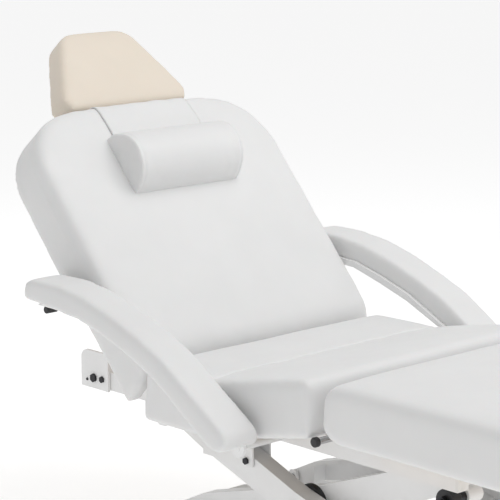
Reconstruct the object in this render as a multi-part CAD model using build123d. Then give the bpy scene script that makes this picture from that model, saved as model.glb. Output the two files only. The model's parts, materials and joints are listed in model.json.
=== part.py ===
from build123d import *
import math
import os

# Powered reclining treatment chair: scissor lift base, frame, seat, back, leg rest, headrest and armrests.
# Design frame, mm: X across the chair, -Y towards the feet, +Y towards the head, +Z up. Its origin is on the
# line where the back meets the seat's top. Parts are moved at the end, so that the floor is Z = 0 and the
# middle of the whole chair is X = 0, Y = 0. Paired pieces are made on the +X side and mirrored.

# ---- driving dimensions ----
CUSHION_HALF = 350       # half the width of the seat, back and leg cushions
SEAT_H = 450             # floor to the seat's rear top with the lift down
SEAT_L = 486             # seat cushion, back to front
SEAT_T = 118             # its thickness at the sides
SEAT_FLAT = 195          # length of its level rear part
SEAT_RISE = 60           # how far its front edge stands above its rear
PAN_DEPTH = 60           # foam above the boards
BOARD_T = 12             # plywood boards
RECESS_HALF = 310        # half width of the space under a cushion that hides the frame

BACK_L = 632             # back cushion, from the seat line to its top
BACK_LOW_T = 100         # its thickness low down
BACK_T = 114             # its thickness from half way up
RECESS_TOP = 560         # top of the space under it that hides its frame
BACK_LEAN = 41.1         # its lean from upright at rest, degrees
BACK_R = 155             # radius of its two top corners

LEG_REAR = -512          # leg cushion, rear end
LEG_FRONT = -1090        # leg cushion, foot end
LEG_TOP = 60
LEG_LOW = -55

RAIL = (210, 240)        # side rails, across
RAIL_TOP = -82
RAIL_LOW = -122
RAIL_REAR = 326
RAIL_FRONT = -762
TUBE_WALL = 3

REACH = 395              # scissor: level distance from the middle pivot to each end pivot
DROP = 106               # scissor: height from the middle pivot to each end pivot, lift down
MIDDLE = (-340, -252)    # middle pivot of the scissor
ARM_D = 60               # depth of the arm tubes
ARM_SLOPE = 0.376        # slope of the arms above the middle pivot
OUTER_X = (200, 240)     # outer arms
INNER_X = (148, 188)     # inner arms
ROLLER_R = 23.5          # upper rollers, which run under the side rails
LOW_ROLLER_R = 17.5      # lower rollers, which run on the base rails
LIFT_TUBE_R = 20         # housing of the lift's spindle drive
ROLLER_PLAY = 0.5

BASE_X = (215, 265)      # base rails
BASE_H = 40
BASE_REAR = 94
BASE_FRONT = -840
SHELF_T = 12

BACK_HINGE = (50, -62)
LEG_HINGE = (-497, -62)
ARMREST_PIVOT = (-300, -111)
PIN_R = 8
LEG_PIN_R = 7
LEVER_R = 60             # drive levers, hinge to drive pin
BACK_LEVER_ANGLE = -74   # where the back's lever points at rest, degrees
LEG_LEVER_ANGLE = -82.5  # where the leg section's lever points at rest, degrees
DRIVE_X = 70             # drives stand this far either side of the middle: back +X, legs -X
DRIVE_PIN_R = 6
BUMPER = (236, 85)       # bumper under each armrest's rear end
BUMPER_R = 8
STAY_R = 6               # bar that carries the bumper
RUN = 0.05               # running clearance of a pin in its hole
SOFT_GAP = 0.3           # soft pieces stand this far off each other
FLAP_T = 3

HEADREST_LOW = 640       # headrest, along the back
HEADREST_HIGH = 850
POST_N = -127            # headrest posts, behind the back's front face
POST_X = 70
POST_R = 8

UPPER_REAR = (MIDDLE[0] + REACH, MIDDLE[1] + DROP)      # outer arms, pinned to the frame
UPPER_FRONT = (MIDDLE[0] - REACH, MIDDLE[1] + DROP)     # inner arms, rollers under the side rails
LOWER_REAR = (MIDDLE[0] + REACH, MIDDLE[1] - DROP)      # inner arms, pinned to the base
LOWER_FRONT = (MIDDLE[0] - REACH, MIDDLE[1] - DROP)     # outer arms, rollers on the base rails
BASE_TOP = LOWER_FRONT[1] - LOW_ROLLER_R - ROLLER_PLAY
BASE_LOW = BASE_TOP - BASE_H
FLOOR = -SEAT_H
ALONG_Y = Rot(90, 0, 0)

os.makedirs("parts", exist_ok=True)
parts = {}


# ---- helpers ----
def block(x, y, z):
    """A box from (low, high) pairs."""
    sizes = [high - low for low, high in (x, y, z)]
    middles = [(high + low) / 2 for low, high in (x, y, z)]
    return Pos(*middles) * Box(*sizes)


def tube_box(x, y, z, open_along):
    """A box tube with open ends along X or Y."""
    inner = [[low + TUBE_WALL, high - TUBE_WALL] for low, high in (x, y, z)]
    axis = "xy".index(open_along)
    inner[axis] = [inner[axis][0] - 10, inner[axis][1] + 10]
    return block(x, y, z) - block(*inner)


def rod(x, centre, r):
    """A cylinder along X about a (y, z) centre."""
    return Pos((x[0] + x[1]) / 2, *centre) * Rot(0, 90, 0) * Cylinder(r, x[1] - x[0])


def plate(points, x):
    """A flat piece across X with a side outline of (y, z) corners."""
    outline = Polyline(*[(x[0], y, z) for y, z in points], close=True)
    return extrude(make_face(outline), amount=x[1] - x[0], dir=(1, 0, 0))


def both(shape):
    """The shape and its mirror image on the other side."""
    return shape + mirror(shape, about=Plane.YZ)


def polar(centre, r, degrees):
    """A (y, z) point at a distance and angle from a centre."""
    angle = math.radians(degrees)
    return (centre[0] + r * math.cos(angle), centre[1] + r * math.sin(angle))


def hex_head(x, centre, flats):
    """A hexagon bolt head or nut about an axis along X."""
    outline = RegularPolygon(radius=flats / math.sqrt(3), side_count=6)
    return Pos(x[0], *centre) * Rot(0, 90, 0) * extrude(outline, amount=x[1] - x[0])


def front_to_back(shape):
    """The same shape turned end for end about the scissor's middle pivot."""
    return Pos(0, 2 * MIDDLE[0], 0) * mirror(shape, about=Plane.XZ)


def lean(b, n):
    """The (y, z) point at b along the back and n out of its front face."""
    angle = math.radians(BACK_LEAN)
    return (b * math.sin(angle) - n * math.cos(angle), b * math.cos(angle) + n * math.sin(angle))


# The back's own frame: local Y runs up the back, and local Z points out of its front face.
BACK_FRAME = Rot(90 - BACK_LEAN, 0, 0)


def back_block(x, b, n):
    return BACK_FRAME * block(x, b, n)


def back_rod(x, b, n, r):
    """A cylinder along the back, between two heights b."""
    return BACK_FRAME * Pos(x, (b[0] + b[1]) / 2, n) * ALONG_Y * Cylinder(r, b[1] - b[0])


# ---- base ----
def make_base():
    """Two rails with cross members, pivot lugs for the inner arms, and levelling feet."""
    ends = (BASE_FRONT, BASE_REAR)
    heights = (BASE_LOW, BASE_TOP)
    parts["base_rails"] = both(tube_box(BASE_X, ends, heights, "y"))
    between = (-BASE_X[0], BASE_X[0])
    rear = tube_box(between, (BASE_REAR - 50, BASE_REAR), heights, "x")
    front = tube_box(between, (BASE_FRONT, BASE_FRONT + 50), heights, "x")
    shelf = block(between, (-420, -380), (BASE_LOW, BASE_LOW + SHELF_T))
    tray = block((-120, 120), (-70, BASE_REAR - 50), (BASE_LOW, BASE_LOW + SHELF_T))
    clamp = block((-30, 30), (-415, -385), (BASE_LOW + SHELF_T, LOWER_FRONT[1] + 26))
    clamp -= Pos(0, -400, LOWER_FRONT[1]) * ALONG_Y * Cylinder(LIFT_TUBE_R, 40)
    parts["base_cross_members"] = rear + front + shelf + tray + clamp

    y, z = LOWER_REAR
    outline = [
        (y - 11, BASE_TOP), (y - 16, z), (y - 10, z + 15), (y + 10, z + 15), (y + 16, z), (y + 35, BASE_TOP),
    ]
    lugs = plate(outline, (190, 196)) + plate(outline, (140, 146))
    parts["base_pivot_lugs"] = both(lugs - rod((130, 200), LOWER_REAR, PIN_R))
    parts["base_pivot_pins"] = both(rod((137, 199), LOWER_REAR, PIN_R))

    stem = Pos(240, 0, (FLOOR + BASE_LOW) / 2) * Cylinder(6, BASE_LOW - FLOOR)
    foot = Pos(240, 0, FLOOR + 6) * Cylinder(24, 12)
    foot = fillet(foot.edges().group_by(Axis.Z)[-1], 4)
    foot += stem
    parts["levelling_feet"] = both(Pos(0, 60, 0) * foot + Pos(0, -805, 0) * foot)

    box = block((-110, -30), (-60, 30), (BASE_LOW + SHELF_T, BASE_TOP + 44))
    parts["control_box"] = fillet(box.edges().filter_by(Axis.Z), 8)
    inlet = block((-84, -56), (30, 40), (BASE_TOP + 6, BASE_TOP + 28))
    parts["power_inlet"] = inlet - block((-80, -60), (34, 41), (BASE_TOP + 10, BASE_TOP + 24))


# ---- scissor lift ----
def arm_outline():
    """Side outline of an outer arm; its top is cut level below the side rail."""
    half = ARM_D / 2 * math.hypot(1, ARM_SLOPE)
    cut = RAIL_LOW - 2
    top_y = MIDDLE[0] + (cut - half - MIDDLE[1]) / ARM_SLOPE
    nose_z = UPPER_REAR[1]
    low_half = ARM_D / 2 * math.hypot(REACH, DROP) / REACH
    return [
        (top_y, cut),
        (UPPER_REAR[0], cut),
        (UPPER_REAR[0], nose_z - 16),
        (UPPER_REAR[0] - 60, nose_z - 16),
        (top_y + 20, cut - 2 * half),
        (MIDDLE[0], MIDDLE[1] - half),
        (LOWER_FRONT[0], LOWER_FRONT[1] - low_half + 14),
        (LOWER_FRONT[0], LOWER_FRONT[1] + low_half - 14),
        (LOWER_FRONT[0] + 60, LOWER_FRONT[1] + low_half + 16),
        (MIDDLE[0], MIDDLE[1] + half),
    ]


def arm(x, bores, holes):
    """One arm: a box section with solid ends, bored for the pivots in bores and drilled for the rest."""
    web = plate(arm_outline(), x) + rod(x, UPPER_REAR, 17) + rod(x, LOWER_FRONT, 16)
    pocket = [
        (-92, -156), (-126, -190), (MIDDLE[0] + 50, MIDDLE[1] - 9), (MIDDLE[0] + 50, MIDDLE[1] + 44), (-120, -142),
    ]
    low_pocket = [
        (MIDDLE[0] - 50, MIDDLE[1] - 40), (LOWER_FRONT[0] + 60, LOWER_FRONT[1] - 8),
        (LOWER_FRONT[0] + 60, LOWER_FRONT[1] + 38), (MIDDLE[0] - 50, MIDDLE[1] + 12),
    ]
    inside = (x[0] - 1, x[1] - TUBE_WALL)
    web = web - plate(pocket, inside) - plate(low_pocket, inside)
    for centre, r in bores + holes:
        web -= rod((x[0] - 1, x[1] + 1), centre, r)
    return web


def make_scissor():
    outer = arm(OUTER_X, [(UPPER_REAR, PIN_R + RUN)], [(LOWER_FRONT, 12), (MIDDLE, 12)])
    parts["outer_arms"] = both(outer)
    inner = arm(INNER_X, [(LOWER_FRONT, PIN_R + RUN), (MIDDLE, 12 + RUN)], [(UPPER_REAR, 7)])
    parts["inner_arms"] = both(front_to_back(inner))

    pins = rod((140, 243), MIDDLE, 12)
    parts["middle_pins"] = both(pins)
    washers = rod((188.5, 199.5), MIDDLE, 40) - rod((188, 200), MIDDLE, 12)
    parts["pivot_washers"] = both(washers)
    outer_end, inner_end = OUTER_X[0], INNER_X[0]
    place = (-45, -176)
    parts["outer_cross_tube"] = rod((-outer_end, outer_end), place, 17) - rod((-201, 201), place, 14)
    place = (-300, -268)
    parts["inner_cross_tube"] = rod((-inner_end, inner_end), place, 17) - rod((-149, 149), place, 14)

    roller = rod((214, 238), UPPER_FRONT, ROLLER_R)
    roller = fillet(roller.edges().filter_by(GeomType.CIRCLE), 2) - rod((213, 239), UPPER_FRONT, 7 + RUN)
    parts["upper_rollers"] = both(roller)
    spacer = rod((189, 213.5), UPPER_FRONT, 12) - rod((188, 214), UPPER_FRONT, 7)
    nut = hex_head((239, 249), UPPER_FRONT, 20) - rod((238, 250), UPPER_FRONT, 7)
    parts["upper_axles"] = both(rod((150, 252), UPPER_FRONT, 7) + spacer + nut)

    parts["lower_shaft"] = rod((-244, 244), LOWER_FRONT, 12) + both(rod((244, 266), LOWER_FRONT, 7))
    roller = rod((245, 264), LOWER_FRONT, LOW_ROLLER_R)
    roller = fillet(roller.edges().filter_by(GeomType.CIRCLE), 2) - rod((244, 265), LOWER_FRONT, 7 + RUN)
    parts["lower_rollers"] = both(roller)


def make_lift_drive():
    """A spindle drive on the base, whose rod pulls the lower shaft rearwards."""
    z = LOWER_FRONT[1]
    start, end = -540, -130
    length = end - start
    body = Pos(0, (start + end) / 2, z) * ALONG_Y * Cylinder(LIFT_TUBE_R, length)
    body += block((-24, 24), (end - 70, end), (z - 17, z + 20))
    motor = Pos(62, end - 40, z) * ALONG_Y * Cylinder(26, 120)
    body += fillet(motor.edges().filter_by(GeomType.CIRCLE), 4)
    body += block((0, 62), (end - 60, end - 40), (z - 16, z + 16))
    body -= Pos(0, (start + end) / 2 - 40, z) * ALONG_Y * Cylinder(11, length - 70)
    parts["lift_drive_housing"] = body
    bar = Pos(0, (LOWER_FRONT[0] - 380) / 2, z) * ALONG_Y * Cylinder(10, LOWER_FRONT[0] * -1 - 380)
    eye = rod((-14, 14), LOWER_FRONT, 20)
    parts["lift_drive_rod"] = bar + eye - rod((-15, 15), LOWER_FRONT, 12 + RUN)


# ---- upper frame ----
def make_upper_frame():
    ends = (RAIL_FRONT, RAIL_REAR)
    parts["side_rails"] = both(tube_box(RAIL, ends, (RAIL_LOW, RAIL_TOP), "y"))
    between = (-RAIL[0], RAIL[0])
    members = []
    for y in (-740, -450, -230, -24, 280):
        members.append(tube_box(between, (y - 20, y + 20), (RAIL_TOP - 18, RAIL_TOP), "x"))
    parts["frame_cross_members"] = members[0] + members[1:]
    lugs = []
    pins = []
    bolts = []

    plug = block((RAIL[0] + 3, RAIL[1] - 3), (RAIL_FRONT, RAIL_FRONT + 20), (RAIL_LOW + 3, RAIL_TOP - 3))
    cap = fillet(block(RAIL, (RAIL_FRONT - 8, RAIL_FRONT), (RAIL_LOW, RAIL_TOP)).edges().group_by(Axis.Y)[0], 3)
    front = plug + cap
    rear = Pos(0, RAIL_FRONT + RAIL_REAR, 0) * mirror(front, about=Plane.XZ)
    parts["rail_end_plugs"] = both(front + rear)

    front, rear = -222, -72
    outline = [(front, RAIL_LOW), (front, -192), (front + 4, -195), (rear, -196), (rear, RAIL_LOW)]
    walls = [plate(outline, x) for x in ((242, 246), (194, 198))]
    tab = block((240, 242), (front + 5, rear - 5), (RAIL_LOW - 1.5, RAIL_LOW + 22))
    top = block((194, 210), (front, rear), (RAIL_LOW, RAIL_LOW + 4))
    outer_tab = block((242, 246), (front, rear), (RAIL_LOW, RAIL_LOW + 24))
    parts["pivot_boxes"] = both(walls[0] + walls[1] + tab + top + outer_tab)
    bolts += [hex_head((246, 251), place, 13) for place in ((-204, -183), (-142, -110))]

    y, z = UPPER_REAR
    outline = [
        (y - 32, RAIL_LOW + 30), (y - 32, RAIL_LOW), (y - 20, z - 10), (y - 9, z - 16),
        (y + 9, z - 16), (y + 20, z - 10), (y + 32, RAIL_LOW), (y + 32, RAIL_LOW + 30),
    ]
    fixing = (y - 32, y + 32), (RAIL_LOW + 10, RAIL_LOW + 30)
    pivot = plate(outline, (192, 198)) + block((198, 210), *fixing)
    pivot += plate(outline, (242, 248)) + block((240, 242), *fixing)
    lugs.append(pivot - rod((190, 250), UPPER_REAR, PIN_R))
    pins.append(rod((189, 252), UPPER_REAR, PIN_R))

    lug = plate([(236, -125), (236, -41), (328, -41), (328, -125)], (241, 247))
    lug = fillet(lug.edges().filter_by(Axis.X).group_by(Axis.Z)[-1], 20)
    parts["rear_lugs"] = both(lug)
    bolts += [hex_head((247, 252), (284, -101), 17), hex_head((247, 251), (256, -100), 13)]
    bolts.append(rod((247, 249), (307, -108), 3))
    parts["frame_bolts"] = both(bolts[0] + bolts[1:])

    y, z = BACK_HINGE
    outline = [(y - 26, RAIL_TOP), (y - 14, z + 12), (y, z + 17), (y + 14, z + 12), (y + 26, RAIL_TOP)]
    hinge = plate(outline, (212, 220)) + plate(outline, (230, 238))
    lugs.append(hinge - rod((210, 240), BACK_HINGE, PIN_R))
    pins.append(rod((208, 242), BACK_HINGE, PIN_R))
    parts["frame_hinge_pins"] = both(pins[0] + pins[1])

    y, z = LEG_HINGE
    outline = [(y - 22, RAIL_TOP), (y - 10, z + 5), (y, z + 10), (y + 9, z + 3), (y + 22, RAIL_TOP)]
    hinge = plate(outline, (212, 220)) + plate(outline, (230, 238))
    lugs.append(hinge - rod((210, 240), LEG_HINGE, LEG_PIN_R))
    parts["frame_hinge_lugs"] = both(lugs[0] + lugs[1:])
    parts["leg_hinge_shaft"] = rod((-336, 336), LEG_HINGE, LEG_PIN_R)
    cap = rod((336, 346), LEG_HINGE, 10)
    cap = fillet(cap.edges().group_by(Axis.X)[-1], 3)
    parts["armrest_outriggers"] = both(rod((RAIL[1], 363.4), ARMREST_PIVOT, 9))
    washer = rod((347, 353.5), ARMREST_PIVOT, 14) - rod((346, 354), ARMREST_PIVOT, 9)
    parts["hinge_caps"] = both(cap + washer)
    pads = [both(block((214, 236), (y, y + 30), (RAIL_TOP, LEG_LOW - BOARD_T - 0.5))) for y in (-750, -600)]
    parts["leg_rest_pads"] = pads[0] + pads[1]


def make_seat():
    slope = SEAT_RISE / (SEAT_L - SEAT_FLAT)
    rear = -3

    def top(y):
        return max(0, (-SEAT_FLAT - y) * slope)

    def outline(depth, back, front):
        return [(back, -depth), (-SEAT_FLAT, -depth), (front, top(front) - depth)]

    upper = outline(0, rear, -SEAT_L)
    lower = outline(SEAT_T, rear, -SEAT_L)
    cushion = plate(upper + lower[::-1], (-CUSHION_HALF, CUSHION_HALF))
    cushion = fillet(cushion.edges().filter_by(Axis.X).group_by(Axis.Z)[-1], 22)
    hollow = outline(PAN_DEPTH, rear + 5, -SEAT_L + 26) + outline(SEAT_T + 60, rear + 5, -SEAT_L + 26)[::-1]
    parts["seat_cushion"] = cushion - plate(hollow, (-RECESS_HALF, RECESS_HALF))
    upper = outline(PAN_DEPTH, rear - 1, -SEAT_L + 28)
    lower = outline(PAN_DEPTH + BOARD_T, rear - 1, -SEAT_L + 28)
    parts["seat_board"] = plate(upper + lower[::-1], (-RECESS_HALF + 2, RECESS_HALF - 2))
    risers = plate([
        (-448, RAIL_TOP), (-448, top(-448) - PAN_DEPTH - BOARD_T),
        (-SEAT_FLAT, -PAN_DEPTH - BOARD_T), (-20, -PAN_DEPTH - BOARD_T), (-20, RAIL_TOP),
    ], (212, 238))
    parts["frame_cross_members"] += both(risers)


# ---- leg section ----
LEG_PIN = polar(LEG_HINGE, LEVER_R, LEG_LEVER_ANGLE)


def make_leg_section():
    cushion = block((-CUSHION_HALF, CUSHION_HALF), (LEG_FRONT, LEG_REAR), (LEG_LOW, LEG_TOP))
    cushion = fillet(cushion.edges().filter_by(Axis.X).group_by(Axis.Y)[-1], 50)
    cushion = fillet(cushion.edges().filter_by(Axis.X).group_by(Axis.Y)[0], 30)
    parts["leg_cushion"] = cushion
    under = LEG_LOW - BOARD_T
    low = under - 12
    parts["leg_board"] = block((-300, 300), (LEG_FRONT + 40, LEG_REAR - 50), (under, LEG_LOW))
    side = block((160, 190), (LEG_FRONT + 50, LEG_REAR - 50), (low, under))
    parts["leg_frame_sides"] = both(side)
    cross = [block((-160, 160), (y - 20, y + 20), (low, under)) for y in (LEG_FRONT + 70, -800, -582)]
    parts["leg_frame_cross_members"] = cross[0] + cross[1:]

    y, z = LEG_HINGE
    start = LEG_REAR - 50
    arm_outline = [(start, low), (start, under), (y - 18, z + 5), (y - 6, z + 10), (y - 1, z - 10.5), (y - 14, low)]
    knuckle = plate(arm_outline, (162, 188)) + rod((162, 188), LEG_HINGE, 10.5)
    knuckles = both(knuckle - rod((160, 190), LEG_HINGE, LEG_PIN_R + RUN))
    y_pin, z_pin = LEG_PIN
    outline = [(start, low), (start, under), (y - 18, z + 5), (y - 6, z + 10), (y + 8, z - 3),
               (y_pin + 10, z_pin), (y_pin, z_pin - 10), (y_pin - 10, z_pin), (y - 20, low)]
    lever = plate(outline, (-DRIVE_X - 16, -DRIVE_X - 10)) + plate(outline, (-DRIVE_X + 10, -DRIVE_X + 16))
    lever -= rod((-DRIVE_X - 20, -DRIVE_X + 20), LEG_HINGE, LEG_PIN_R + RUN)
    lever += rod((-DRIVE_X - 18, -DRIVE_X + 18), LEG_PIN, DRIVE_PIN_R)
    parts["leg_hinge_brackets"] = knuckles + lever


# ---- back section ----
BACK_PIN = polar(BACK_HINGE, LEVER_R, BACK_LEVER_ANGLE)


def make_back_cushion():
    """A slab with rounded top corners; its lower end is cut round the hinge to clear the seat."""
    side = [lean(-36, 0), lean(-36, -BACK_LOW_T), lean(60, -BACK_LOW_T), lean(300, -BACK_T),
            lean(BACK_L, -BACK_T), lean(BACK_L, 0)]
    slab = plate(side, (-CUSHION_HALF, CUSHION_HALF))
    corners = slab.edges().filter_by(lambda e: abs(e.center().X) > CUSHION_HALF - 1
                                     and abs(e.length - BACK_T) < 1)
    slab = fillet(corners.sort_by(Axis.Z)[-2:], BACK_R)
    y, z = BACK_HINGE
    keep_out = [(-60, -130), (-60, 60), lean(20, 60), lean(20, -2), polar(BACK_HINGE, 48, 150),
                polar(BACK_HINGE, 48, 165), polar(BACK_HINGE, 48, 180), polar(BACK_HINGE, 48, 195),
                polar(BACK_HINGE, 48, 212), (16, -130)]
    slab -= plate(keep_out, (-CUSHION_HALF - 1, CUSHION_HALF + 1))
    slab -= back_block((-RECESS_HALF, RECESS_HALF), (-60, RECESS_TOP), (-BACK_T - 1, -52))
    slab -= block((-RECESS_HALF, RECESS_HALF), (-20, 60), (-140, z - 4))
    parts["back_cushion"] = slab


def make_back_section():
    make_back_cushion()
    parts["back_board"] = back_block((-300, 300), (20, RECESS_TOP - 8), (-52 - BOARD_T, -52))
    front, rear = -52 - BOARD_T, -94
    side = back_block((205, 235), (20, RECESS_TOP - 12), (rear, front))
    parts["back_frame_sides"] = both(side - back_block((208, 232), (10, RECESS_TOP), (rear + 3, front - 3)))
    cross = []
    for b in (20, 420, 515):
        member = back_block((-205, 205), (b, b + 30), (rear, front))
        cross.append(member - back_block((-206, 206), (b + 3, b + 27), (rear + 3, front - 3)))
    parts["back_frame_cross_members"] = cross[0] + cross[1:]

    y, z = BACK_HINGE
    outline = [polar(BACK_HINGE, 14, 215), polar(BACK_HINGE, 14, 150), lean(20, front), lean(20, rear),
               polar(BACK_HINGE, 14, -40), polar(BACK_HINGE, 14, -95)]
    knuckle = plate(outline, (221, 229)) + rod((221, 229), BACK_HINGE, 14)
    knuckles = both(knuckle - rod((220, 230), BACK_HINGE, PIN_R + RUN))
    y_pin, z_pin = BACK_PIN
    outline = [lean(20, front), lean(20, rear), (y_pin + 10, z_pin), (y_pin, z_pin - 10), (y_pin - 10, z_pin), (y, z)]
    lever = plate(outline, (DRIVE_X - 16, DRIVE_X - 10)) + plate(outline, (DRIVE_X + 10, DRIVE_X + 16))
    lever += rod((DRIVE_X - 18, DRIVE_X + 18), BACK_PIN, DRIVE_PIN_R)
    parts["back_hinge_brackets"] = knuckles + lever

    sleeves = back_block((POST_X - 10, POST_X + 10), (440, 545), (POST_N, rear))
    sleeves += back_rod(POST_X, (435, 550), POST_N, 13)
    parts["headrest_sleeves"] = both(sleeves - back_rod(POST_X, (430, 555), POST_N, POST_R + RUN))

    angle = math.radians(BACK_LEAN)
    b = BUMPER[0] * math.sin(angle) + BUMPER[1] * math.cos(angle)
    n = BUMPER[1] * math.sin(angle) - BUMPER[0] * math.cos(angle)
    bracket = back_block((292, 299), (b - 25, b + 25), (n - 12, -BOARD_T - 52))
    parts["arm_supports"] = both(bracket + rod((286, 412), BUMPER, STAY_R))
    bumper = rod((385, 414), BUMPER, BUMPER_R)
    bumper = fillet(bumper.edges().filter_by(GeomType.CIRCLE), 2) - rod((384, 412), BUMPER, STAY_R)
    parts["arm_bumpers"] = both(bumper)

    section = extrude(Ellipse(85, 74), amount=304)
    bolster = BACK_FRAME * Pos(-152, 465, SOFT_GAP) * Rot(0, 90, 0) * section
    parts["neck_bolster"] = bolster & back_block((-152, 152), (380, 550), (SOFT_GAP, 90))
    thick = SOFT_GAP + FLAP_T
    flap = back_block((-131, 131), (541, BACK_L + thick), (SOFT_GAP, thick))
    flap += back_block((-131, 131), (BACK_L + SOFT_GAP, BACK_L + thick), (-BACK_T - thick, thick))
    flap += back_block((-131, 131), (565, BACK_L + thick), (-BACK_T - thick, -BACK_T - SOFT_GAP))
    parts["bolster_flap"] = flap


# ---- headrest ----
HEADREST_AXIS_B = 700
HEADREST_AXIS_N = -103
HEADREST_PIN_R = 6


def make_headrest():
    front, rear = -22, -87
    corners = [(168, HEADREST_LOW), (184, HEADREST_LOW + 30), (98, HEADREST_HIGH)]
    outline = Polyline(*corners, *[(-x, b) for x, b in reversed(corners)], close=True)
    pad = extrude(make_face(outline), amount=front - rear)
    pad = fillet(pad.edges().filter_by(Axis.Z).group_by(Axis.Y)[1], 30)
    pad = fillet(pad.edges().filter_by(Axis.Z).group_by(Axis.Y)[-1], 60)
    parts["headrest_cushion"] = BACK_FRAME * Pos(0, 0, rear) * pad

    b, n = HEADREST_AXIS_B, HEADREST_AXIS_N
    axis = lean(b, n)
    shell = back_block((-70, 70), (HEADREST_LOW + 40, HEADREST_HIGH - 40), (rear - 5, rear))
    ears = both(back_block((34, 42), (b - 11, b + 11), (n, rear - 5)) + rod((34, 42), axis, 11))
    parts["headrest_plate"] = shell + ears + rod((-46, 46), axis, HEADREST_PIN_R)
    bar_n = (POST_N - 10, n - 11.5)
    bar = back_block((-POST_X - 12, POST_X + 12), (b - 10, b + 10), bar_n)
    knuckle = rod((-33, 33), axis, 10) + back_block((-33, 33), (b - 9, b + 9), (n - 11.5, n))
    bar -= both(back_rod(POST_X, (b - 11, b + 11), POST_N, POST_R))
    parts["headrest_carrier"] = bar + knuckle - rod((-34, 34), axis, HEADREST_PIN_R + RUN)
    posts = back_rod(POST_X, (400, b + 10), POST_N, POST_R)
    parts["headrest_posts"] = both(posts)


# ---- armrests ----
def make_armrests():
    """Each pad is a curved block on a lug plate, with a strip under its rear end that rides on the bumper."""
    outline = [
        (252, 113), (258, 130), (254, 150), (232, 159), (140, 158), (67, 148), (-20, 124), (-107, 93), (-179, 62),
        (-224, 34), (-268, 5), (-340, -39), (-360, -52), (-368, -64), (-366, -82), (-352, -93), (-330, -92),
        (-309, -82), (-295, -72), (-241, -37), (-197, -8), (-150, 19), (-89, 47), (-5, 76), (77, 98), (160, 105),
    ]
    pad = plate(outline, (364, 459))
    strip = plate([(105, 97), (242, 97), (242, 100), (105, 100)], (380, 428))
    lug = plate([(-322, -111), (-300, -133), (-278, -111), (-262, -52), (-200, -10), (-89, 40), (-5, 68), (77, 92),
                 (160, 97), (160, 112), (77, 106), (-5, 84), (-89, 56), (-197, 2), (-241, -27), (-312, -76)],
                (354, 362))
    lug += rod((354, 362), ARMREST_PIVOT, 20)
    lug += block((362, 380), (105, 160), (97, 100))
    lug -= rod((350, 363), ARMREST_PIVOT, 9 + RUN)
    parts["armrest_pad_right"] = pad
    parts["armrest_bracket_right"] = lug + strip
    parts["armrest_pad_left"] = mirror(pad, about=Plane.YZ)
    parts["armrest_bracket_left"] = mirror(lug + strip, about=Plane.YZ)


# ---- drives for the back and the leg section ----
def make_drive(name, x, pin, housing, motor_x, offset):
    """A spindle drive along Y, gearbox at the housing's far end from the pin.

    The rod's slotted head carries the pin of a lever; offset centres the slot on the pin's swing.
    """
    y, z = pin[0] + offset, pin[1]
    near, far = sorted(housing, key=lambda end: abs(end - y))
    away = 1 if far > near else -1
    tube = Pos(x, (near + far) / 2, z) * ALONG_Y * Cylinder(15, abs(far - near))
    gearbox = sorted((far - away * 10, far + away * 50))
    body = tube + block((min(x, motor_x) - 17, max(x, motor_x) + 17), gearbox, (z - 17, z + 17))
    motor = Pos(motor_x, far - away * 55, z) * ALONG_Y * Cylinder(17, 90)
    body += motor
    bore_end = far - away * 15
    body -= Pos(x, (near - away * 5 + bore_end) / 2, z) * ALONG_Y * Cylinder(9, abs(near - away * 5 - bore_end))
    parts[name + "_drive_housing"] = body
    start = y + away * 10
    tail = near + away * 130
    stem = Pos(x, (start + tail) / 2, z) * ALONG_Y * Cylinder(8, abs(start - tail))
    head = block((x - 5.5, x + 5.5), (y - 14, y + 14), (z - 18, z + 18))
    half_slot = DRIVE_PIN_R + 0.9
    slot = block((x - 9, x + 9), (y - half_slot, y + half_slot), (z - 14, z + 14))
    parts[name + "_drive_rod"] = stem + head - slot


def make_drives():
    make_drive("back", DRIVE_X, BACK_PIN, (-380, -70), DRIVE_X - 36, -0.37)
    make_drive("leg", -DRIVE_X, LEG_PIN, (-440, -180), 36 - DRIVE_X, 0)


for make in (make_base, make_scissor, make_lift_drive, make_upper_frame, make_seat, make_leg_section,
             make_back_section, make_headrest, make_armrests, make_drives):
    make()

boxes = [shape.bounding_box() for shape in parts.values()]
SEAT_Y = -(min(box.min.Y for box in boxes) + max(box.max.Y for box in boxes)) / 2
for name, shape in parts.items():
    export_step(Pos(0, SEAT_Y, SEAT_H) * shape, "parts/" + name + ".step")
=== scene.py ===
import json
import math

import bpy
import numpy as np
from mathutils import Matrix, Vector, noise
from mathutils.bvhtree import BVHTree


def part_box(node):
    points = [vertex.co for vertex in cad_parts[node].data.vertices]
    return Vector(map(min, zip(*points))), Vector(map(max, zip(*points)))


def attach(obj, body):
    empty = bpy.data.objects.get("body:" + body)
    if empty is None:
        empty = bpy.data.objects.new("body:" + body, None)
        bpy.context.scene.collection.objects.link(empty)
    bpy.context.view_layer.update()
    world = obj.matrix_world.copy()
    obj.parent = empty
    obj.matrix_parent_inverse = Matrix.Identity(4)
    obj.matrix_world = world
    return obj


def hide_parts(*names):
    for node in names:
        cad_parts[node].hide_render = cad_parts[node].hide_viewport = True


# Looks of a powered treatment chair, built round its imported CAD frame. Everything is in metres.
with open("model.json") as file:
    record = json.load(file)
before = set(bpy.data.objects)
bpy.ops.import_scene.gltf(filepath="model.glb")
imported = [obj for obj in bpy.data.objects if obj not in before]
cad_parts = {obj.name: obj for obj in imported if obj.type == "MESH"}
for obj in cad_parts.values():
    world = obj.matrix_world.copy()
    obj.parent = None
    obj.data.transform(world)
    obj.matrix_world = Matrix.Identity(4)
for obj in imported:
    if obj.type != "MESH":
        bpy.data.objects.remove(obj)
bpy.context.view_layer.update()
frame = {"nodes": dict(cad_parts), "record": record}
NODES = frame["nodes"]
SCENE = bpy.context.scene

# ---- places, from the frame ----
RAIL_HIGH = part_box("side_rails")[1]
SEAT_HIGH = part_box("seat_cushion")[1]
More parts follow.
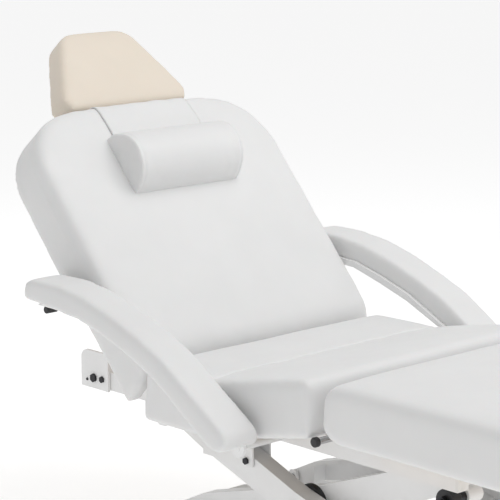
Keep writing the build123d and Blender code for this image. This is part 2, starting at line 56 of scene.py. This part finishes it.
# The design origin: where the back meets the rear of the seat's top.
ORIGIN = Vector((0.0, SEAT_HIGH.y + 0.003, RAIL_HIGH.z + 0.082))
LEAN = math.radians(41.1)          # the back's lean from upright
UP_BACK = Vector((0, math.sin(LEAN), math.cos(LEAN)))
OUT_OF_BACK = Vector((0, -math.cos(LEAN), math.sin(LEAN)))
KINK_Y = ORIGIN.y - 0.195          # where the seat's top turns up
SEAT_SLOPE = 0.2062                # slope of the seat's top in front of that
CUSHION_HALF = 0.350               # half the width of the three cushions
BACK_TOP_B = 0.632                 # the back cushion's top, along the back
BOLSTER_HALF = 0.152               # half the bolster's length
STRAP_HALF = 0.131                 # half the strap's width


def on_back(x, b, n):
    """A point at x across, b along the back and n out of its front face."""
    return ORIGIN + Vector((x, 0, 0)) + UP_BACK * b + OUT_OF_BACK * n


# ---- camera ----
CAMERA_FROM = ORIGIN + Vector((-3.090, -3.245, 1.080))
CAMERA_TO = ORIGIN + Vector((0.0014, 0.0489, 0.1848))
LENS = 153.0


def make_camera():
    data = bpy.data.cameras.new("camera")
    data.lens = LENS
    data.sensor_width = 36.0
    data.clip_start, data.clip_end = 0.1, 60
    camera = bpy.data.objects.new("camera", data)
    SCENE.collection.objects.link(camera)
    camera.location = CAMERA_FROM
    camera.rotation_mode = "QUATERNION"
    camera.rotation_quaternion = (CAMERA_TO - CAMERA_FROM).to_track_quat("-Z", "Y")
    SCENE.camera = camera


# ---- materials ----
def new_material(name):
    material = bpy.data.materials.new(name)
    material.use_nodes = True
    tree = material.node_tree
    shader = tree.nodes["Principled BSDF"]
    place = tree.nodes.new("ShaderNodeTexCoord")
    return material, tree, shader, place.outputs["Object"]


def noise_node(tree, coordinates, scale, detail=4.0, roughness=0.55):
    node = tree.nodes.new("ShaderNodeTexNoise")
    node.inputs["Scale"].default_value = scale
    node.inputs["Detail"].default_value = detail
    node.inputs["Roughness"].default_value = roughness
    tree.links.new(coordinates, node.inputs["Vector"])
    return node.outputs["Fac"]


def voronoi_node(tree, coordinates, scale, feature="DISTANCE_TO_EDGE"):
    node = tree.nodes.new("ShaderNodeTexVoronoi")
    node.feature = feature
    node.inputs["Scale"].default_value = scale
    tree.links.new(coordinates, node.inputs["Vector"])
    return node.outputs["Distance"]


def ramp_node(tree, value, stops):
    node = tree.nodes.new("ShaderNodeValToRGB")
    elements = node.color_ramp.elements
    while len(elements) < len(stops):
        elements.new(0.5)
    for element, (position, colour) in zip(elements, stops):
        element.position = position
        element.color = (*colour, 1.0)
    tree.links.new(value, node.inputs["Fac"])
    return node.outputs["Color"]


def bump_node(tree, height, strength, distance, before=None):
    node = tree.nodes.new("ShaderNodeBump")
    node.inputs["Strength"].default_value = strength
    node.inputs["Distance"].default_value = distance
    tree.links.new(height, node.inputs["Height"])
    if before is not None:
        tree.links.new(before, node.inputs["Normal"])
    return node.outputs["Normal"]


def shade(colour, factor):
    return tuple(min(1.0, c * factor) for c in colour)


def make_vinyl(name, colour, grain=950.0):
    """Artificial leather: fine pebble grain, faint mottling, and a broad satin sheen."""
    material, tree, shader, place = new_material(name)
    mottling = noise_node(tree, place, 9.0, 5.0)
    tone = ramp_node(tree, mottling, [(0.3, shade(colour, 0.972)), (0.7, shade(colour, 1.0))])
    tree.links.new(tone, shader.inputs["Base Color"])
    pebbles = voronoi_node(tree, place, grain)
    creases = noise_node(tree, place, 55.0, 6.0, 0.6)
    fine = bump_node(tree, pebbles, 0.16, 0.0004)
    tree.links.new(bump_node(tree, creases, 0.10, 0.0016, fine), shader.inputs["Normal"])
    rough = ramp_node(tree, noise_node(tree, place, 30.0), [(0.3, (0.44,) * 3), (0.75, (0.56,) * 3)])
    tree.links.new(rough, shader.inputs["Roughness"])
    shader.inputs["Specular IOR Level"].default_value = 0.42
    shader.inputs["Sheen Weight"].default_value = 0.08
    shader.inputs["Subsurface Weight"].default_value = 0.03
    shader.inputs["Subsurface Scale"].default_value = 0.004
    return material


def make_paint(name, colour):
    """Powder coat: orange peel, with slight dust in the hollows."""
    material, tree, shader, place = new_material(name)
    dust = noise_node(tree, place, 14.0, 6.0)
    tone = ramp_node(tree, dust, [(0.25, shade(colour, 0.95)), (0.7, colour)])
    tree.links.new(tone, shader.inputs["Base Color"])
    peel = noise_node(tree, place, 620.0, 2.0)
    tree.links.new(bump_node(tree, peel, 0.12, 0.0003), shader.inputs["Normal"])
    rough = ramp_node(tree, dust, [(0.3, (0.42,) * 3), (0.7, (0.3,) * 3)])
    tree.links.new(rough, shader.inputs["Roughness"])
    shader.inputs["Coat Weight"].default_value = 0.15
    shader.inputs["Coat Roughness"].default_value = 0.2
    return material


def make_plastic(name, colour, roughness, texture=900.0, strength=0.15):
    """Moulded plastic with a fine spark-eroded texture."""
    material, tree, shader, place = new_material(name)
    cloud = noise_node(tree, place, 25.0)
    tone = ramp_node(tree, cloud, [(0.3, shade(colour, 0.9)), (0.7, shade(colour, 1.06))])
    tree.links.new(tone, shader.inputs["Base Color"])
    grains = noise_node(tree, place, texture, 3.0)
    tree.links.new(bump_node(tree, grains, strength, 0.0003), shader.inputs["Normal"])
    rough = ramp_node(tree, cloud, [(0.3, (roughness + 0.06,) * 3), (0.7, (roughness - 0.05,) * 3)])
    tree.links.new(rough, shader.inputs["Roughness"])
    return material


def make_metal(name, colour, roughness, stretch=(1.0, 40.0, 40.0)):
    """Ground metal: fine lines round or along the piece, and faint smudges."""
    material, tree, shader, place = new_material(name)
    mapping = tree.nodes.new("ShaderNodeMapping")
    mapping.inputs["Scale"].default_value = stretch
    tree.links.new(place, mapping.inputs["Vector"])
    lines = noise_node(tree, mapping.outputs["Vector"], 60.0, 6.0)
    smudge = noise_node(tree, place, 18.0)
    tone = ramp_node(tree, smudge, [(0.3, shade(colour, 0.86)), (0.7, colour)])
    tree.links.new(tone, shader.inputs["Base Color"])
    rough = ramp_node(tree, lines, [(0.3, (roughness - 0.06,) * 3), (0.7, (roughness + 0.1,) * 3)])
    tree.links.new(rough, shader.inputs["Roughness"])
    tree.links.new(bump_node(tree, lines, 0.08, 0.0002), shader.inputs["Normal"])
    shader.inputs["Metallic"].default_value = 1.0
    return material


def make_plywood(name):
    """Birch plywood: long grain with darker streaks."""
    material, tree, shader, place = new_material(name)
    mapping = tree.nodes.new("ShaderNodeMapping")
    mapping.inputs["Scale"].default_value = (1.0, 9.0, 9.0)
    tree.links.new(place, mapping.inputs["Vector"])
    grain = noise_node(tree, mapping.outputs["Vector"], 14.0, 8.0, 0.65)
    stops = [(0.3, (0.42, 0.27, 0.14)), (0.55, (0.62, 0.46, 0.28)), (0.8, (0.70, 0.55, 0.36))]
    tone = ramp_node(tree, grain, stops)
    tree.links.new(tone, shader.inputs["Base Color"])
    tree.links.new(bump_node(tree, grain, 0.2, 0.0005), shader.inputs["Normal"])
    shader.inputs["Roughness"].default_value = 0.62
    return material


MATERIALS = {
    "upholstery": make_vinyl("vinyl_white", (0.775, 0.775, 0.773)),
    "headrest_upholstery": make_vinyl("vinyl_beige", (0.765, 0.685, 0.585)),
    "frame_paint": make_paint("powder_coat_white", (0.86, 0.86, 0.858)),
    "black_plastic": make_plastic("black_nylon", (0.018, 0.018, 0.02), 0.45),
    "dark_steel": make_metal("black_oxide", (0.055, 0.055, 0.06), 0.42),
    "steel": make_metal("ground_steel", (0.55, 0.55, 0.56), 0.26),
    "chrome": make_metal("chrome", (0.85, 0.85, 0.86), 0.1, (30.0, 2.0, 2.0)),
    "plywood": make_plywood("plywood"),
    "white_plastic": make_plastic("white_plastic", (0.78, 0.78, 0.77), 0.38),
    "grey_plastic": make_plastic("grey_plastic", (0.11, 0.11, 0.12), 0.5, 500.0, 0.3),
    "rubber": make_plastic("rubber", (0.02, 0.02, 0.02), 0.75, 300.0, 0.3),
}

# CAD nodes whose sharp edges get a fine round.
EDGED = {"outer_arms", "inner_arms", "side_rails", "pivot_boxes", "rear_lugs", "base_rails", "frame_bolts",
         "base_pivot_lugs", "armrest_bracket_left", "armrest_bracket_right", "frame_cross_members"}


def finish_nodes():
    """Every CAD node gets its own finish, and some a fine edge round that the light catches."""
    for part in frame["record"]["subparts"]:
        node = NODES[part["node"]]
        node.data.materials.clear()
        node.data.materials.append(MATERIALS[part["material_slot"]])
        if part["node"] in EDGED:
            modifier = node.modifiers.new("edge", "BEVEL")
            modifier.width = 0.0008
            modifier.segments = 2
            modifier.limit_method = "ANGLE"
            modifier.angle_limit = math.radians(50)


# ---- soft pieces ----
def smooth(obj, rounds, weight=None):
    """Round the edges off; weight, one value a vertex, says how much."""
    modifier = obj.modifiers.new("smooth", "SMOOTH")
    modifier.factor = 0.5
    modifier.iterations = rounds
    if weight is not None:
        group = obj.vertex_groups.new(name="soft")
        steps = np.round(np.clip(weight, 0, 1) * 20).astype(int)
        for step in range(21):
            group.add([int(i) for i in np.flatnonzero(steps == step)], step / 20, "REPLACE")
        modifier.vertex_group = "soft"
    apply_modifiers(obj)
    obj.vertex_groups.clear()


def ease(value, start, end):
    """0 below start, 1 above end."""
    return np.clip((value - start) / (end - start), 0, 1)


def apply_modifiers(obj):
    bpy.context.view_layer.update()
    graph = bpy.context.evaluated_depsgraph_get()
    mesh = bpy.data.meshes.new_from_object(obj.evaluated_get(graph))
    old = obj.data
    obj.modifiers.clear()
    obj.data = mesh
    bpy.data.meshes.remove(old)


def points_of(obj):
    co = np.empty(len(obj.data.vertices) * 3)
    obj.data.vertices.foreach_get("co", co)
    return co.reshape(-1, 3)


def set_points(obj, co):
    obj.data.vertices.foreach_set("co", np.ascontiguousarray(co, dtype=np.float32).ravel())
    obj.data.update()


def normals_of(obj):
    values = np.empty(len(obj.data.vertices) * 3)
    obj.data.vertices.foreach_get("normal", values)
    return values.reshape(-1, 3)


def copy_solid(node, name, voxel):
    """A new object with a node's shape, remeshed evenly."""
    obj = bpy.data.objects.new(name, NODES[node].data.copy())
    SCENE.collection.objects.link(obj)
    modifier = obj.modifiers.new("remesh", "REMESH")
    modifier.mode = "VOXEL"
    modifier.voxel_size = voxel
    apply_modifiers(obj)
    return obj


PUFF_PRESSURE = 4.0
PUFF_FRAMES = 20


def puff(obj, cap, hold):
    """Blow the skin up like a filled cover, by at most cap. hold marks vertices that stay."""
    before = points_of(obj)
    modifier = obj.modifiers.new("cloth", "CLOTH")
    settings = modifier.settings
    settings.use_pressure = True
    settings.uniform_pressure_force = PUFF_PRESSURE
    settings.quality = 4
    settings.mass = 0.4
    settings.tension_stiffness = 12
    settings.compression_stiffness = 12
    settings.shear_stiffness = 6
    settings.bending_stiffness = 1.5
    settings.effector_weights.gravity = 0
    modifier.collision_settings.use_collision = False
    if hold.any():
        group = obj.vertex_groups.new(name="hold")
        group.add([int(i) for i in np.flatnonzero(hold)], 1.0, "REPLACE")
        settings.vertex_group_mass = "hold"
    modifier.point_cache.frame_start = 1
    modifier.point_cache.frame_end = PUFF_FRAMES
    for step in range(1, PUFF_FRAMES + 1):
        SCENE.frame_set(step)
    apply_modifiers(obj)
    SCENE.frame_set(1)
    moved = points_of(obj) - before
    set_points(obj, before)
    normal = normals_of(obj)
    rise = np.clip(np.sum(moved * normal, axis=1), 0, cap)
    set_points(obj, before + normal * spread(obj, rise, 90)[:, None])
    obj.vertex_groups.clear()


def spread(obj, values, rounds):
    """Average a value a vertex with its neighbours', over and over, so that it changes evenly."""
    ends = np.empty(len(obj.data.edges) * 2, dtype=np.int64)
    obj.data.edges.foreach_get("vertices", ends)
    start, stop = ends[0::2], ends[1::2]
    size = len(values)
    number = np.bincount(start, minlength=size) + np.bincount(stop, minlength=size)
    for _ in range(rounds):
        total = np.bincount(start, values[stop], size) + np.bincount(stop, values[start], size)
        values = 0.4 * values + 0.6 * total / np.maximum(number, 1)
    return values


def subdivide(obj):
    modifier = obj.modifiers.new("subdivision", "SUBSURF")
    modifier.levels = 1
    modifier.render_levels = 1
    apply_modifiers(obj)


def shade_smooth(obj):
    for polygon in obj.data.polygons:
        polygon.use_smooth = True


def groove(obj, distance, depth, width):
    """Press a sewn channel into the surface where distance, one value a vertex, is near 0."""
    co, normal = points_of(obj), normals_of(obj)
    share = np.exp(-(distance / width) ** 2)
    set_points(obj, co - normal * (depth * share)[:, None])


def wrinkle(obj, weight, amount, scale, seed):
    """Soft unevenness of a stretched cover, strongest where weight is 1."""
    co, normal = points_of(obj), normals_of(obj)
    offset = Vector((seed * 3.1, seed * 1.7, seed * 2.3))
    heights = np.array([noise.noise(Vector(p) * scale + offset) for p in co])
    set_points(obj, co + normal * (heights * weight * amount)[:, None])


def finish_soft(obj, body, slot, fill, *nodes):
    obj.data.materials.clear()
    obj.data.materials.append(MATERIALS[slot])
    shade_smooth(obj)
    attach(obj, body)
    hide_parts(*nodes)


def local_back(co):
    """b and n of each point, in the back's own frame."""
    rel = co - np.array(ORIGIN)
    return rel @ np.array(UP_BACK), rel @ np.array(OUT_OF_BACK)


def make_back():
    obj = copy_solid("back_cushion", "back_cover", 0.0075)
    n = local_back(points_of(obj))[1]
    smooth(obj, 70, 0.06 + 0.94 * ease(n, -0.085, -0.045))
    n = local_back(points_of(obj))[1]
    puff(obj, 0.009, n < -0.06)
    subdivide(obj)
    co = points_of(obj)
    b, n = local_back(co)
    edge = np.minimum(CUSHION_HALF - np.abs(co[:, 0]), np.minimum(b + 0.02, BACK_TOP_B - b))
    weight = (n > -0.09) * np.exp(-np.maximum(edge, 0) / 0.05)
    wrinkle(obj, weight, 0.0016, 28.0, 1)
    wrinkle(obj, (n > -0.03) * 1.0, 0.0015, 6.0, 2)
    finish_soft(obj, "back", "upholstery", 0.8, "back_cushion")


def make_seat():
    obj = copy_solid("seat_cushion", "seat_cover", 0.0075)
    co = points_of(obj)
    depth = co[:, 2] - ORIGIN.z - np.maximum(0, KINK_Y - co[:, 1]) * SEAT_SLOPE
    smooth(obj, 26, 0.08 + 0.92 * ease(depth, -0.08, -0.045))
    co = points_of(obj)
    top = ORIGIN.z - 0.03 + np.maximum(0, KINK_Y - co[:, 1]) * SEAT_SLOPE
    held = (np.abs(co[:, 1] - KINK_Y) < 0.006) | (co[:, 2] < top)
    puff(obj, 0.009, held)
    subdivide(obj)
    co = points_of(obj)
    above = co[:, 2] > ORIGIN.z - 0.07
    groove(obj, np.where(above, co[:, 1] - KINK_Y, 1.0), 0.007, 0.005)
    wrinkle(obj, np.exp(-np.abs(points_of(obj)[:, 1] - KINK_Y) / 0.05), 0.0018, 26.0, 3)
    wrinkle(obj, np.ones(len(co)), 0.0012, 7.0, 4)
    finish_soft(obj, "seat_frame", "upholstery", 0.8, "seat_cushion")


def make_leg():
    obj = copy_solid("leg_cushion", "leg_cover", 0.009)
    smooth(obj, 22, 0.12 + 0.88 * ease(points_of(obj)[:, 2] - ORIGIN.z, -0.03, 0.0))
    co = points_of(obj)
    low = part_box("leg_cushion")[0]
    puff(obj, 0.009, co[:, 2] < low.z + 0.02)
    subdivide(obj)
    wrinkle(obj, np.ones(len(obj.data.vertices)), 0.0014, 6.0, 5)
    finish_soft(obj, "leg_rest", "upholstery", 0.85, "leg_cushion")


def make_headrest():
    obj = copy_solid("headrest_cushion", "headrest_cover", 0.005)
    smooth(obj, 60, 0.25 + 0.75 * ease(local_back(points_of(obj))[1], -0.08, -0.05))
    n = local_back(points_of(obj))[1]
    puff(obj, 0.008, n < -0.08)
    subdivide(obj)
    wrinkle(obj, np.ones(len(obj.data.vertices)), 0.0010, 14.0, 6)
    finish_soft(obj, "headrest", "headrest_upholstery", 0.8, "headrest_cushion")


def make_bolster():
    obj = copy_solid("neck_bolster", "neck_bolster_cover", 0.005)
    smooth(obj, 8)
    n = local_back(points_of(obj))[1]
    ends = np.abs(np.abs(points_of(obj)[:, 0]) - 0.150) < 0.004
    puff(obj, 0.005, (n < 0.004) | ends)
    subdivide(obj)
    co = points_of(obj)
    n = local_back(co)[1]
    groove(obj, np.abs(co[:, 0]) - 0.142, 0.0016, 0.003)
    weight = np.exp(-(BOLSTER_HALF - np.abs(co[:, 0])) / 0.03) * (n > 0.003)
    wrinkle(obj, weight, 0.0016, 45.0, 7)
    finish_soft(obj, "back", "upholstery", 0.9, "neck_bolster")


# The pad's middle line, (y, z) from the design origin.
ARM_LINE = ((-0.36, -0.07), (-0.30, -0.045), (-0.25, -0.015), (-0.20, 0.025), (-0.14, 0.055), (-0.06, 0.08),
            (0.03, 0.11), (0.11, 0.126), (0.26, 0.135))


def arm_softness(co):
    """Full above the pad's middle line and little below it."""
    line = np.array(ARM_LINE)
    middle = ORIGIN.z + np.interp(co[:, 1] - ORIGIN.y, line[:, 0], line[:, 1])
    return 0.25 + 0.75 * ease(co[:, 2] - middle, -0.01, 0.01)


def make_armrests():
    for side, seed in (("left", 8), ("right", 9)):
        node = "armrest_pad_" + side
        obj = copy_solid(node, "armrest_cover_" + side, 0.006)
        co = points_of(obj)
        smooth(obj, 26, arm_softness(co))
        low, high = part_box(node)
        co = points_of(obj)
        edge = np.minimum(co[:, 0] - low.x, high.x - co[:, 0]) < 0.004
        puff(obj, 0.004, edge)
        subdivide(obj)
        wrinkle(obj, np.ones(len(obj.data.vertices)), 0.0012, 12.0, seed)
        finish_soft(obj, "armrest_" + side, "upholstery", 0.85, node)


# ---- strap that holds the bolster ----
def make_strap():
    """One strip from under the bolster, over the back's top edge and a little way down behind.

    Each point is laid on the back's cover by a ray from outside. Below the cover's rear edge the strap hangs.
    """
    thick, gap = 0.0026, 0.0019
    cover = bpy.data.objects["back_cover"].data
    tree = BVHTree.FromPolygons([v.co for v in cover.vertices], [p.vertices for p in cover.polygons])
    centre = (0.580, -0.057)
    rays = [((b, 0.3), (0.0, -1.0)) for b in np.linspace(0.541, 0.578, 7)]
    for angle in np.radians(np.linspace(90, -68, 44)):
        out = (math.cos(angle), math.sin(angle))
        rays.append(((centre[0] + 0.4 * out[0], centre[1] + 0.4 * out[1]), (-out[0], -out[1])))
    columns = 41
    across = [STRAP_HALF * (2 * column / (columns - 1) - 1) for column in range(columns)]
    verts = []
    for row, (start, aim) in enumerate(rays):
        direction = UP_BACK * aim[0] + OUT_OF_BACK * aim[1]
        for x in across:
            hit = tree.ray_cast(on_back(x, *start), direction)[0]
            ripple = (1 + noise.noise(Vector((x * 22, row * 0.11, 4.0)))) * 0.0004
            verts.append(hit - direction * (gap + ripple))
    last = local_back(np.array([tuple(v) for v in verts[-columns:]]))[0]
    hanging = (0.596, 0.588, 0.578, 0.565)
    for b in hanging:
        for x, limit in zip(across, last):
            verts.append(on_back(x, min(b, limit - 0.002), -0.1165))
    rows = len(rays) + len(hanging)
    faces = []
    for row in range(rows - 1):
        for column in range(columns - 1):
            a = row * columns + column
            faces.append((a, a + 1, a + 1 + columns, a + columns))
    mesh = bpy.data.meshes.new("bolster_strap")
    mesh.from_pydata(verts, [], faces)
    obj = bpy.data.objects.new("bolster_strap", mesh)
    SCENE.collection.objects.link(obj)
    modifier = obj.modifiers.new("thickness", "SOLIDIFY")
    modifier.thickness = thick
    modifier.offset = 0.0
    apply_modifiers(obj)
    shade_smooth(obj)
    obj.data.materials.append(MATERIALS["upholstery"])
    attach(obj, "back")
    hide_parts("bolster_flap")


# ---- stage ----
def make_stage():
    mesh = bpy.data.meshes.new("floor")
    size = 30.0
    corners = [(-size, -size, 0), (size, -size, 0), (size, size, 0), (-size, size, 0)]
    mesh.from_pydata(corners, [], [(0, 1, 2, 3)])
    floor = bpy.data.objects.new("floor", mesh)
    SCENE.collection.objects.link(floor)
    material, _, shader, _ = new_material("floor")
    shader.inputs["Base Color"].default_value = (0.76, 0.76, 0.76, 1)
    shader.inputs["Roughness"].default_value = 0.9
    shader.inputs["Specular IOR Level"].default_value = 0.1
    shader.inputs["Emission Color"].default_value = (1, 1, 1, 1)
    shader.inputs["Emission Strength"].default_value = 0.5
    floor.data.materials.append(material)


def add_area(name, place, target, size, power):
    data = bpy.data.lights.new(name, "AREA")
    data.shape = "RECTANGLE"
    data.size, data.size_y = size
    data.energy = power
    light = bpy.data.objects.new(name, data)
    SCENE.collection.objects.link(light)
    light.location = place
    light.rotation_mode = "QUATERNION"
    light.rotation_quaternion = (Vector(target) - Vector(place)).to_track_quat("-Z", "Y")


def make_lights():
    world = bpy.data.worlds.new("studio")
    SCENE.world = world
    world.use_nodes = True
    background = world.node_tree.nodes["Background"]
    background.inputs["Color"].default_value = (1.0, 1.0, 1.0, 1)
    background.inputs["Strength"].default_value = 0.55
    centre = ORIGIN + Vector((0, -0.2, 0.1))
    add_area("key", centre + Vector((0.6, -1.1, 3.0)), centre, (3.0, 3.0), 58)
    add_area("fill", centre + Vector((3.0, -2.2, 1.6)), centre, (2.5, 2.5), 10)
    add_area("rim", centre + Vector((0.5, 3.2, 2.2)), centre, (3.0, 2.0), 10)
    SCENE.view_settings.view_transform = "Standard"


make_camera()
make_stage()
make_lights()
finish_nodes()
make_back()
make_seat()
make_leg()
make_headrest()
make_bolster()
make_armrests()
make_strap()
